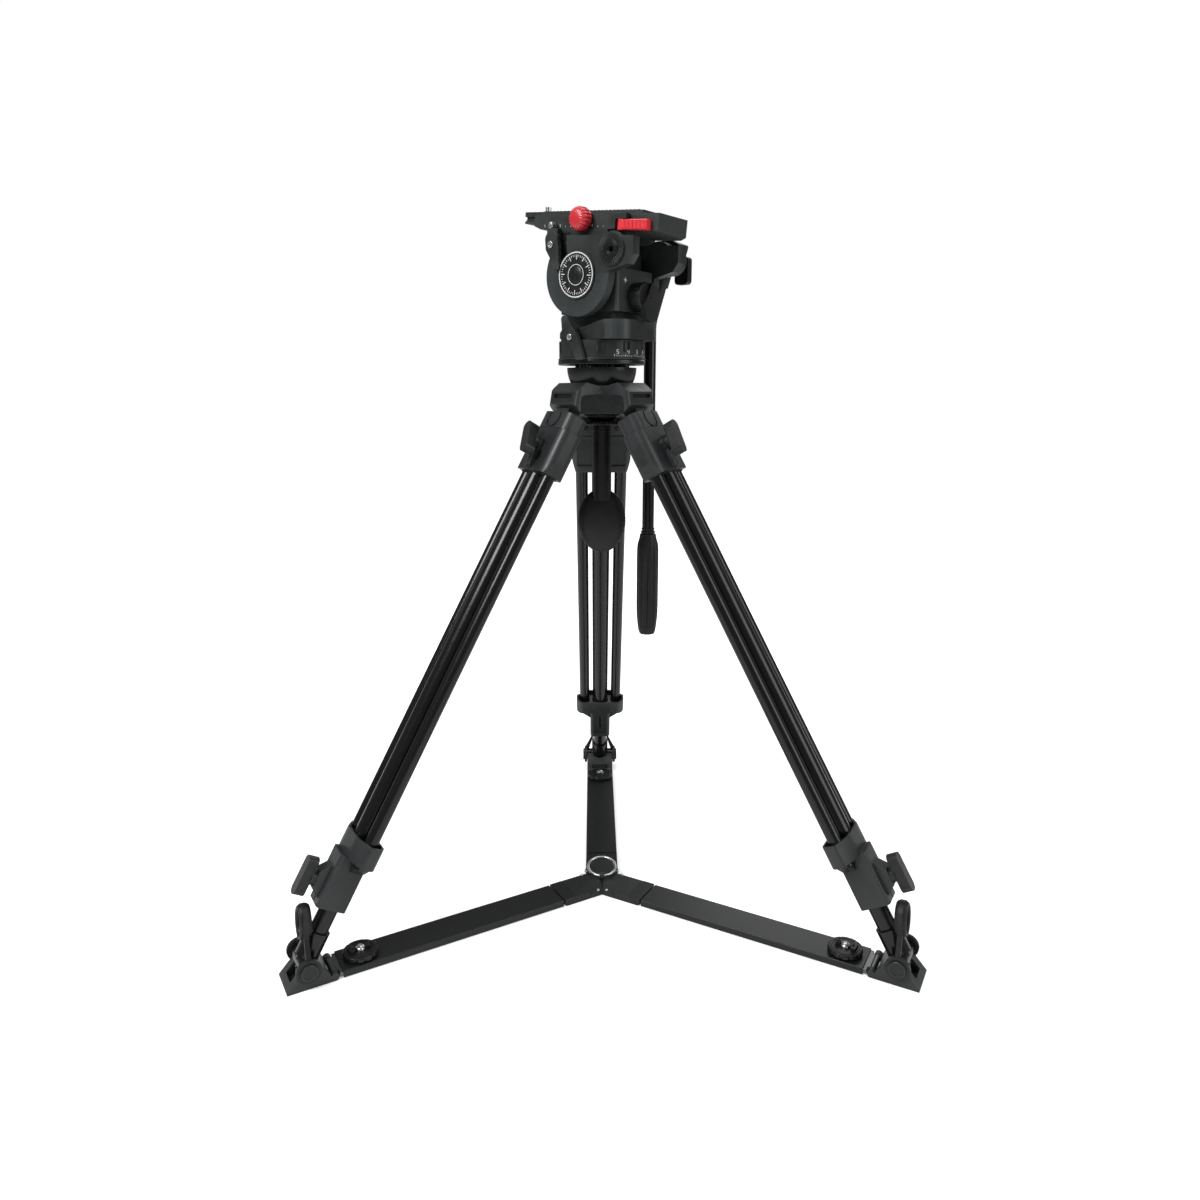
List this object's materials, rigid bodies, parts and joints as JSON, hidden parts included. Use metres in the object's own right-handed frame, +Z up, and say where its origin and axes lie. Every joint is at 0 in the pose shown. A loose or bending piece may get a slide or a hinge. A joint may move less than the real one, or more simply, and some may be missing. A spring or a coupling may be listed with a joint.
{
  "type": "tripod with fluid head",
  "caption": "Two-stage aluminium tripod on a fold-away floor spreader, with a half-ball fluid head, quick-release camera plate and hanging pan bar.",
  "frame": {"origin": "centre of the spreader hub underside, on the floor under the pan axis", "axes": "+Z up, along the pan axis; +Y towards the back leg"},
  "size_m": [0.68, 0.5888, 0.79],
  "materials": {
    "casting": "satin painted casting",
    "head_grey": "fine-textured grey paint",
    "dark_metal": "black anodised",
    "tube": "black anodised tube",
    "arm": "black anodised",
    "bright": "bright brushed",
    "steel": "bright steel",
    "handle": "black moulded",
    "rubber": "matt rubber",
    "cover": "black printed disc",
    "red": "red moulded"
  },
  "bodies": {
    "crown": {"crown": "casting"},
    "head_ball": {"half_ball": "dark_metal"},
    "tie_down": {"tie_down_handle": "handle"},
    "hub": {"spreader_hub": "casting"},
    "hub_ring": {"hub_ring": "steel"},
    "pan": {"pan_housing": "head_grey"},
    "drag_ring": {"drag_ring": "handle"},
    "pan_lever": {"pan_brake_lever": "head_grey"},
    "selector": {"balance_selector": "handle"},
    "tilt": {"tilt_frame": "head_grey", "side_cover": "cover", "plate_holder": "head_grey"},
    "plate": {"camera_plate": "head_grey"},
    "screw": {"camera_screw": "steel"},
    "clamp_knob": {"clamp_knob": "red"},
    "release_lever": {"release_lever": "red"},
    "tilt_lever": {"tilt_brake_lever": "head_grey"},
    "bar": {"bar_bracket": "handle", "pan_bar": "tube", "bar_grip": "rubber"},
    "bar_knob": {"bar_clamp_knob": "handle"},
    "left_upper": {"left_hinge_casting": "casting", "left_centre_tube": "tube"},
    "left_mid": {"left_upper_collar": "casting", "left_twin_tubes": "tube", "left_lower_casting": "casting"},
    "left_lower": {"left_lower_tube": "tube", "left_shoe": "casting"},
    "left_strap": {"left_strap": "rubber"},
    "left_bar": {"left_arm_bar": "bright"},
    "left_channel": {"left_arm_channel": "arm"},
    "left_arm_knob": {"left_arm_knob": "handle"},
    "left_upper_knob": {"left_upper_knob": "handle"},
    "left_lower_knob": {"left_lower_knob": "handle"},
    "right_upper": {"right_hinge_casting": "casting", "right_centre_tube": "tube"},
    "right_mid": {"right_upper_collar": "casting", "right_twin_tubes": "tube", "right_lower_casting": "casting"},
    "right_lower": {"right_lower_tube": "tube", "right_shoe": "casting"},
    "right_strap": {"right_strap": "rubber"},
    "right_bar": {"right_arm_bar": "bright"},
    "right_channel": {"right_arm_channel": "arm"},
    "right_arm_knob": {"right_arm_knob": "handle"},
    "right_upper_knob": {"right_upper_knob": "handle"},
    "right_lower_knob": {"right_lower_knob": "handle"},
    "back_upper": {"back_hinge_casting": "casting", "back_centre_tube": "tube"},
    "back_mid": {"back_upper_collar": "casting", "back_twin_tubes": "tube", "back_lower_casting": "casting"},
    "back_lower": {"back_lower_tube": "tube", "back_shoe": "casting"},
    "back_strap": {"back_strap": "rubber"},
    "back_bar": {"back_arm_bar": "bright"},
    "back_channel": {"back_arm_channel": "arm"},
    "back_arm_knob": {"back_arm_knob": "handle"},
    "back_upper_knob": {"back_upper_knob": "handle"},
    "back_lower_knob": {"back_lower_knob": "handle"}
  },
  "joints": [
    {"name": "head_level", "type": "hinge", "parent": "crown", "child": "head_ball", "pos_m": [0, 0, 0.62], "axis": [1, 0, 0], "range_deg": [-3, 3]},
    {"name": "tie_down_turn", "type": "hinge", "parent": "head_ball", "child": "tie_down", "pos_m": [0, 0, 0.5], "axis": [0, 0, 1], "continuous": true},
    {"name": "pan", "type": "hinge", "parent": "head_ball", "child": "pan", "pos_m": [0, 0, 0.65], "axis": [0, 0, 1], "range_deg": [-8, 7]},
    {"name": "drag_ring_turn", "type": "hinge", "parent": "pan", "child": "drag_ring", "pos_m": [0, 0, 0.638], "axis": [0, 0, 1], "range_deg": [0, 150]},
    {"name": "pan_brake", "type": "hinge", "parent": "pan", "child": "pan_lever", "pos_m": [-0.03079, -0.03635, 0.6496], "axis": [-0.617, -0.7869, 0], "range_deg": [0, 30]},
    {"name": "balance_select", "type": "hinge", "parent": "pan", "child": "selector", "pos_m": [0.03461, -0.02879, 0.689], "axis": [-0.7869, 0.617, 0], "range_deg": [0, 240]},
    {"name": "tilt", "type": "hinge", "parent": "pan", "child": "tilt", "pos_m": [0.00315, -0.00247, 0.71], "axis": [-0.617, -0.7869, 0], "range_deg": [-1, 9]},
    {"name": "plate_slide", "type": "slide", "parent": "tilt", "child": "plate", "axis": [-0.7833, 0.6142, 0.0958], "range_m": [-0.018, 0.03]},
    {"name": "screw_turn", "type": "hinge", "parent": "plate", "child": "screw", "pos_m": [-0.05786, 0.04537, 0.78126], "axis": [0.0754, -0.0591, 0.9954], "continuous": true},
    {"name": "clamp_knob_turn", "type": "hinge", "parent": "tilt", "child": "clamp_knob", "pos_m": [-0.01745, -0.03461, 0.7633], "axis": [-0.617, -0.7869, 0], "range_deg": [0, 180]},
    {"name": "release", "type": "hinge", "parent": "tilt", "child": "release_lever", "pos_m": [0.0196, -0.06715, 0.74771], "axis": [-0.0754, 0.0591, -0.9954], "range_deg": [0, 35]},
    {"name": "tilt_brake", "type": "hinge", "parent": "tilt", "child": "tilt_lever", "pos_m": [-0.04975, -0.02122, 0.74112], "axis": [-0.617, -0.7869, 0], "range_deg": [0, 30]},
    {"name": "pan_bar_angle", "type": "hinge", "parent": "tilt", "child": "bar", "pos_m": [0.06524, 0.00413, 0.7307], "axis": [-0.617, -0.7869, 0], "range_deg": [0, 110]},
    {"name": "bar_knob_turn", "type": "hinge", "parent": "bar", "child": "bar_knob", "pos_m": [0.07758, 0.01987, 0.7307], "axis": [-0.617, -0.7869, 0], "range_deg": [0, 150]},
    {"name": "hub_rise", "type": "slide", "parent": "crown", "child": "hub", "axis": [0, 0, 1], "range_m": [0, 0.146]},
    {"name": "hub_ring_lift", "type": "hinge", "parent": "hub", "child": "hub_ring", "pos_m": [0, 0, 0.0119], "axis": [1, 0, 0], "range_deg": [0, 150]},
    {"name": "left_leg_fold", "type": "hinge", "parent": "crown", "child": "left_upper", "pos_m": [-0.03289, -0.01899, 0.57826], "axis": [0.5, -0.866, 0], "range_deg": [0, 21.5]},
    {"name": "left_upper_stage", "type": "slide", "parent": "left_upper", "child": "left_mid", "axis": [-0.4322, -0.2495, -0.8665], "range_m": [0, 0.4]},
    {"name": "left_lower_stage", "type": "slide", "parent": "left_mid", "child": "left_lower", "axis": [-0.4322, -0.2495, -0.8665], "range_m": [0, 0.38]},
    {"name": "left_upper_clamp", "type": "hinge", "parent": "left_mid", "child": "left_upper_knob", "pos_m": [-0.06921, -0.03996, 0.54251], "axis": [-0.7505, -0.4333, 0.4991], "range_deg": [0, 120]},
    {"name": "left_lower_clamp", "type": "hinge", "parent": "left_mid", "child": "left_lower_knob", "pos_m": [-0.29568, -0.17071, 0.11151], "axis": [-0.7505, -0.4333, 0.4991], "range_deg": [0, 120]},
    {"name": "left_strap_swing", "type": "hinge", "parent": "left_lower", "child": "left_strap", "pos_m": [-0.31034, -0.17917, 0.02202], "axis": [0.5, -0.866, 0], "range_deg": [0, 70]},
    {"name": "left_arm_fold", "type": "hinge", "parent": "left_lower", "child": "left_bar", "pos_m": [-0.28752, -0.166, 0.0043], "axis": [0.5, -0.866, 0], "range_deg": [0, 60.55]},
    {"name": "left_arm_extend", "type": "slide", "parent": "left_bar", "child": "left_channel", "axis": [0.866, 0.5, 0], "range_m": [0, 0.16]},
    {"name": "left_arm_clamp", "type": "hinge", "parent": "left_channel", "child": "left_arm_knob", "pos_m": [-0.25981, -0.15, 0.0083], "axis": [0, 0, 1], "range_deg": [0, 180]},
    {"name": "right_leg_fold", "type": "hinge", "parent": "crown", "child": "right_upper", "pos_m": [0.03289, -0.01899, 0.57826], "axis": [0.5, 0.866, 0], "range_deg": [0, 21.5]},
    {"name": "right_upper_stage", "type": "slide", "parent": "right_upper", "child": "right_mid", "axis": [0.4322, -0.2495, -0.8665], "range_m": [0, 0.4]},
    {"name": "right_lower_stage", "type": "slide", "parent": "right_mid", "child": "right_lower", "axis": [0.4322, -0.2495, -0.8665], "range_m": [0, 0.38]},
    {"name": "right_upper_clamp", "type": "hinge", "parent": "right_mid", "child": "right_upper_knob", "pos_m": [0.06921, -0.03996, 0.54251], "axis": [0.7505, -0.4333, 0.4991], "range_deg": [0, 120]},
    {"name": "right_lower_clamp", "type": "hinge", "parent": "right_mid", "child": "right_lower_knob", "pos_m": [0.29568, -0.17071, 0.11151], "axis": [0.7505, -0.4333, 0.4991], "range_deg": [0, 120]},
    {"name": "right_strap_swing", "type": "hinge", "parent": "right_lower", "child": "right_strap", "pos_m": [0.31034, -0.17917, 0.02202], "axis": [0.5, 0.866, 0], "range_deg": [0, 70]},
    {"name": "right_arm_fold", "type": "hinge", "parent": "right_lower", "child": "right_bar", "pos_m": [0.28752, -0.166, 0.0043], "axis": [0.5, 0.866, 0], "range_deg": [0, 60.55]},
    {"name": "right_arm_extend", "type": "slide", "parent": "right_bar", "child": "right_channel", "axis": [-0.866, 0.5, 0], "range_m": [0, 0.16]},
    {"name": "right_arm_clamp", "type": "hinge", "parent": "right_channel", "child": "right_arm_knob", "pos_m": [0.25981, -0.15, 0.0083], "axis": [0, 0, 1], "range_deg": [0, 180]},
    {"name": "back_leg_fold", "type": "hinge", "parent": "crown", "child": "back_upper", "pos_m": [0, 0.03798, 0.57826], "axis": [-1, 0, 0], "range_deg": [0, 21.5]},
    {"name": "back_upper_stage", "type": "slide", "parent": "back_upper", "child": "back_mid", "axis": [0, 0.4991, -0.8665], "range_m": [0, 0.4]},
    {"name": "back_lower_stage", "type": "slide", "parent": "back_mid", "child": "back_lower", "axis": [0, 0.4991, -0.8665], "range_m": [0, 0.38]},
    {"name": "back_upper_clamp", "type": "hinge", "parent": "back_mid", "child": "back_upper_knob", "pos_m": [0, 0.07991, 0.54251], "axis": [0, 0.8665, 0.4991], "range_deg": [0, 120]},
    {"name": "back_lower_clamp", "type": "hinge", "parent": "back_mid", "child": "back_lower_knob", "pos_m": [0, 0.34142, 0.11151], "axis": [0, 0.8665, 0.4991], "range_deg": [0, 120]},
    {"name": "back_strap_swing", "type": "hinge", "parent": "back_lower", "child": "back_strap", "pos_m": [0, 0.35835, 0.02202], "axis": [-1, 0, 0], "range_deg": [0, 70]},
    {"name": "back_arm_fold", "type": "hinge", "parent": "back_lower", "child": "back_bar", "pos_m": [0, 0.332, 0.0043], "axis": [-1, 0, 0], "range_deg": [0, 60.55]},
    {"name": "back_arm_extend", "type": "slide", "parent": "back_bar", "child": "back_channel", "axis": [0, -1, 0], "range_m": [0, 0.16]},
    {"name": "back_arm_clamp", "type": "hinge", "parent": "back_channel", "child": "back_arm_knob", "pos_m": [0, 0.3, 0.0083], "axis": [0, 0, 1], "range_deg": [0, 180]}
  ],
  "couplings": [
    {"joint": "left_arm_fold", "follows": "left_leg_fold", "ratio": 2.814},
    {"joint": "left_arm_extend", "follows": "left_lower_stage", "ratio": 0.42},
    {"joint": "right_leg_fold", "follows": "left_leg_fold", "ratio": 1},
    {"joint": "right_arm_fold", "follows": "left_leg_fold", "ratio": 2.814},
    {"joint": "right_arm_extend", "follows": "right_lower_stage", "ratio": 0.42},
    {"joint": "back_leg_fold", "follows": "left_leg_fold", "ratio": 1},
    {"joint": "back_arm_fold", "follows": "left_leg_fold", "ratio": 2.814},
    {"joint": "back_arm_extend", "follows": "back_lower_stage", "ratio": 0.42},
    {"joint": "hub_rise", "follows": "left_leg_fold", "m_per_rad": 0.38775}
  ]
}
